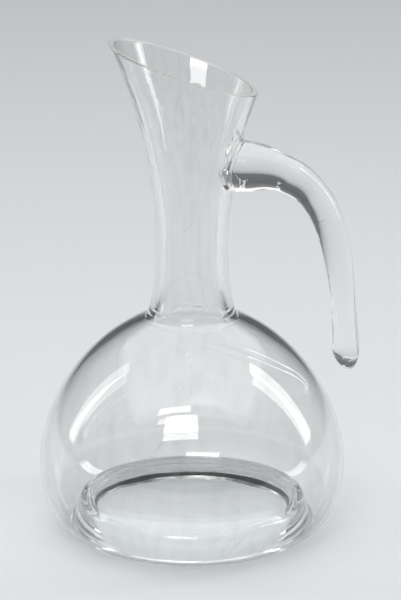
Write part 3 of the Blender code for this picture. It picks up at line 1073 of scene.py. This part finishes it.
def glass_finish(name, look, working, haze, clear=1.0):
    """A clear glass with its own ripple, streaks and haze, through which lamps still light the floor."""
    finish, kit = new_finish(name)
    stretch, ripple, streak, residue, bump = working
    traces = {
        "Stretch": stretch,
        "Ripple": ripple,
        "Streak": streak,
        "Haze": haze,
        "Residue": residue,
        "Tint": (*look.tint, 1.0),
    }
    group = bpy.data.node_groups.get(WORKED_GLASS) or worked_group()
    worked = kit.add("Group", node_tree=group)
    for socket, value in traces.items():
        kit.put(worked.inputs[socket], value)
    relief = {"Strength": bump, "Distance": RELIEF_DEPTH, "Height": worked.outputs["Height"]}
    facing = kit.add("LayerWeight", {"Blend": FACING_BLEND}).outputs["Facing"]
    edge_on = kit.ranged(facing, *EDGE_RANGE)
    edge_tint = (*look.edge_tint, 1.0)
    shader = kit.nodes["Principled BSDF"]
    for socket, value in (
        ("Base Color", kit.mixed(edge_on, worked.outputs["Colour"], edge_tint, "MULTIPLY")),
        ("Roughness", worked.outputs["Roughness"]),
        ("Normal", kit.add("Bump", relief).outputs["Normal"]),
        ("Metallic", 0.0),
        ("IOR", look.index),
        ("Transmission Weight", clear),
    ):
        kit.put(shader.inputs[socket], value)
    shadow = kit.add("BsdfTransparent", {"Color": kit.ramp(facing, SHADOW_STOPS)})
    in_shadow = kit.add("LightPath").outputs["Is Shadow Ray"]
    mix = kit.add("MixShader", {"Fac": in_shadow, 1: shader.outputs["BSDF"], 2: shadow.outputs["BSDF"]})
    kit.put(kit.nodes["Material Output"].inputs["Surface"], mix.outputs["Shader"])
    return finish


def joint_finish():
    """The face that two fused pieces share, which light crosses unbent."""
    name = "fused_joint"
    finish = bpy.data.materials.get(name)
    if finish is None:
        finish, kit = new_finish(name)
        kit.nodes.remove(kit.nodes["Principled BSDF"])
        clear = kit.add("BsdfTransparent").outputs["BSDF"]
        kit.put(kit.nodes["Material Output"].inputs["Surface"], clear)
    return finish


class DECANTER_OT_bowl(bpy.types.Operator):
    """Blow the bowl"""

    bl_idname = "decanter.bowl"
    bl_label = "Bowl"

    def execute(self, context):
        scene = context.scene
        look = scene.decanter_glass
        glass = glass_finish("bowl_glass_blown", look, BLOWN, look.roughness)
        piece = make_bowl(scene.decanter_bowl, scene.decanter_neck, glass)
        dressed(piece, "bowl")
        return {"FINISHED"}


class DECANTER_OT_neck_seal(bpy.types.Operator):
    """Fuse the ring between bowl and neck"""

    bl_idname = "decanter.neck_seal"
    bl_label = "Fused ring"

    def execute(self, context):
        scene = context.scene
        look = scene.decanter_glass
        glass = glass_finish("ring_glass_fused", look, RING_FUSED, look.roughness)
        piece = make_neck_seal(scene.decanter_neck, glass)
        dressed(piece, "neck_seal")
        return {"FINISHED"}


class DECANTER_OT_neck(bpy.types.Operator):
    """Draw the neck and cut its mouth"""

    bl_idname = "decanter.neck"
    bl_label = "Neck"

    def execute(self, context):
        scene = context.scene
        look = scene.decanter_glass
        glass = glass_finish("neck_glass_drawn", look, DRAWN, look.roughness)
        cut_glass = glass_finish("neck_glass_cut", look, CUT, look.cut_roughness, look.cut_clearness)
        piece = make_neck(scene.decanter_neck, scene.decanter_handle, glass, cut_glass)
        dressed(piece, "neck")
        return {"FINISHED"}


class DECANTER_OT_handle_seal(bpy.types.Operator):
    """Fuse the handle's pad to the neck"""

    bl_idname = "decanter.handle_seal"
    bl_label = "Fused pad"

    def execute(self, context):
        scene = context.scene
        look = scene.decanter_glass
        glass = glass_finish("pad_glass_fused", look, PAD_FUSED, look.roughness)
        piece = make_handle_seal(scene.decanter_neck, scene.decanter_handle, glass)
        dressed(piece, "handle_seal")
        return {"FINISHED"}


class DECANTER_OT_handle(bpy.types.Operator):
    """Pull the solid handle"""

    bl_idname = "decanter.handle"
    bl_label = "Handle"

    def execute(self, context):
        scene = context.scene
        look = scene.decanter_glass
        glass = glass_finish("handle_glass_pulled", look, PULLED, look.roughness)
        piece = make_handle(scene.decanter_neck, scene.decanter_handle, glass)
        dressed(piece, "handle")
        return {"FINISHED"}


# The lamps: name, the power it draws on and its share of it, then size, place and aim in metres
MIDDLE = (0.0, 0.0, 0.14)
LAMPS = (
    ("overhead", "overhead", 1.0, (5.0, 5.0), (0.0, 0.8, 2.6), (0.0, 0.8, 0.0)),
    ("window", "window", 1.0, (0.607, 0.355), (-0.197, -1.0, 1.0625), (-0.197, 0.0, 1.0625)),
    ("window_top", "window", 0.55, (0.72, 0.2), (-0.388, -1.0, 1.42), (-0.388, 0.0, 1.42)),
    ("strip_right", "strip", 1.0, (0.22, 1.1), (1.15, 0.25, 0.75), MIDDLE),
    ("strip_left", "strip", 0.6, (0.22, 1.1), (-1.2, 0.35, 0.70), MIDDLE),
)

# The soft surroundings from the horizon up, and the floor
SKY_STOPS = ((0.0, (0.30, 0.31, 0.33)), (0.28, (0.22, 0.23, 0.25)), (0.9, (1.0, 1.0, 1.0)))
FLOOR_CORNERS = ((-9.0, -9.0), (9.0, -9.0), (9.0, 9.0), (-9.0, 9.0))
FLOOR_DROP = 0.15 * MM
FLOOR_SHADE = 0.985
FLOOR_NOISE = (3.0, 2.0)
FLOOR_ROUGHNESS = 0.7
FLOOR_GLOSS = 0.2

# The photograph's viewpoint, with its focal length in pixels
VIEW_SIDE = 5.333 * MM
VIEW_DISTANCE = 1.3
VIEW_HEIGHT = 0.537094
VIEW_PITCH = 0.293
VIEW_FOCUS_PIXELS = 2216.324
VIEW_NEAREST = 0.01
IMAGE_HEIGHT = 600
SENSOR = 24.0

# How often light may turn inside the thick fused glass
GLASS_BOUNCES = 32


def floor_finish(paint):
    """A plain pale matt floor with a trace of unevenness."""
    finish, kit = new_finish("pale_floor")
    uneven = kit.noise(kit.add("TexCoord").outputs["Object"], *FLOOR_NOISE)
    darker = (*(FLOOR_SHADE * value for value in paint), 1.0)
    shader = kit.nodes["Principled BSDF"]
    kit.put(shader.inputs["Base Color"], kit.mixed(uneven, darker, (*paint, 1.0), "MIX"))
    kit.put(shader.inputs["Roughness"], FLOOR_ROUGHNESS)
    kit.put(shader.inputs["Specular IOR Level"], FLOOR_GLOSS)
    return finish


def make_floor(paint):
    """The floor, a hair below the standing ring."""
    mesh = bpy.data.meshes.new("floor")
    mesh.from_pydata([(x, y, -FLOOR_DROP) for x, y in FLOOR_CORNERS], [], [(0, 1, 2, 3)])
    mesh.materials.append(floor_finish(paint))
    floor = bpy.data.objects.new("floor", mesh)
    bpy.context.scene.collection.objects.link(floor)


def make_lamp(name, power, size, place, aim):
    """A rectangular lamp at a place, turned to a point."""
    lamp = bpy.data.lights.new(name, "AREA")
    lamp.shape = "RECTANGLE"
    lamp.size, lamp.size_y = size
    lamp.energy = power
    made = bpy.data.objects.new(name, lamp)
    made.location = place
    away = Vector([start - end for start, end in zip(place, aim)])
    made.rotation_euler = away.to_track_quat("Z", "Y").to_euler()
    bpy.context.scene.collection.objects.link(made)


def make_surroundings(strength):
    """A soft grey studio: dimmer round the sides, lighter overhead."""
    world = bpy.data.worlds.new("studio")
    bpy.context.scene.world = world
    world.use_nodes = True
    kit = NodeKit(world.node_tree)
    heading = kit.add("TexCoord").outputs["Generated"]
    upward = kit.add("SeparateXYZ", {"Vector": heading}).outputs["Z"]
    shell = kit.nodes["Background"]
    kit.put(shell.inputs["Color"], kit.ramp(upward, SKY_STOPS))
    kit.put(shell.inputs["Strength"], strength)


def make_camera():
    """The camera at the photograph's viewpoint."""
    camera = bpy.data.cameras.new("photo_view")
    camera.sensor_fit = "VERTICAL"
    camera.sensor_height = SENSOR
    camera.lens = VIEW_FOCUS_PIXELS * SENSOR / IMAGE_HEIGHT
    camera.clip_start = VIEW_NEAREST
    view = bpy.data.objects.new("photo_view", camera)
    view.location = (VIEW_SIDE + AXIS_X, -VIEW_DISTANCE, VIEW_HEIGHT)
    view.rotation_euler = (math.pi / 2 - VIEW_PITCH, 0.0, 0.0)
    bpy.context.scene.collection.objects.link(view)
    bpy.context.scene.camera = view


class DECANTER_OT_stage(bpy.types.Operator):
    """Set the floor, the lights and the camera"""

    bl_idname = "decanter.stage"
    bl_label = "Stage"

    def execute(self, context):
        scene = context.scene
        look = scene.decanter_stage
        make_floor(look.floor)
        for name, power, share, size, place, aim in LAMPS:
            make_lamp(name, getattr(look, power) * share, size, place, aim)
        make_surroundings(look.sky)
        make_camera()
        scene.view_settings.view_transform = "Standard"
        for limit in ("max_bounces", "glossy_bounces", "transmission_bounces", "transparent_max_bounces"):
            setattr(scene.cycles, limit, GLASS_BOUNCES)
        return {"FINISHED"}


class DECANTER_PT_panel(bpy.types.Panel):
    """Sizes and looks of the decanter"""

    bl_idname = "DECANTER_PT_panel"
    bl_label = "Decanter"
    bl_space_type = "VIEW_3D"
    bl_region_type = "UI"
    bl_category = "Decanter"

    def draw(self, context):
        for operator in OPERATORS:
            self.layout.operator(operator.bl_idname)
        for name in GROUPS:
            group = getattr(context.scene, name)
            box = self.layout.box()
            for field in group.__annotations__:
                box.prop(group, field)


OPERATORS = (
    DECANTER_OT_stage,
    DECANTER_OT_bowl,
    DECANTER_OT_neck_seal,
    DECANTER_OT_neck,
    DECANTER_OT_handle_seal,
    DECANTER_OT_handle,
)
GROUPS = {
    "decanter_bowl": BowlSizes,
    "decanter_neck": NeckSizes,
    "decanter_handle": HandleSizes,
    "decanter_glass": GlassLook,
    "decanter_stage": StageLook,
}
CLASSES = (*GROUPS.values(), *OPERATORS, DECANTER_PT_panel)


def register():
    for kind in CLASSES:
        bpy.utils.register_class(kind)
    for name, kind in GROUPS.items():
        setattr(bpy.types.Scene, name, PointerProperty(type=kind))


def unregister():
    for name in GROUPS:
        delattr(bpy.types.Scene, name)
    for kind in reversed(CLASSES):
        bpy.utils.unregister_class(kind)


def main():
    register()
    bpy.ops.decanter.stage()
    bpy.ops.decanter.bowl()
    bpy.ops.decanter.neck_seal()
    bpy.ops.decanter.neck()
    bpy.ops.decanter.handle_seal()
    bpy.ops.decanter.handle()
    bpy.context.view_layer.update()


if __name__ == "__main__":
    main()
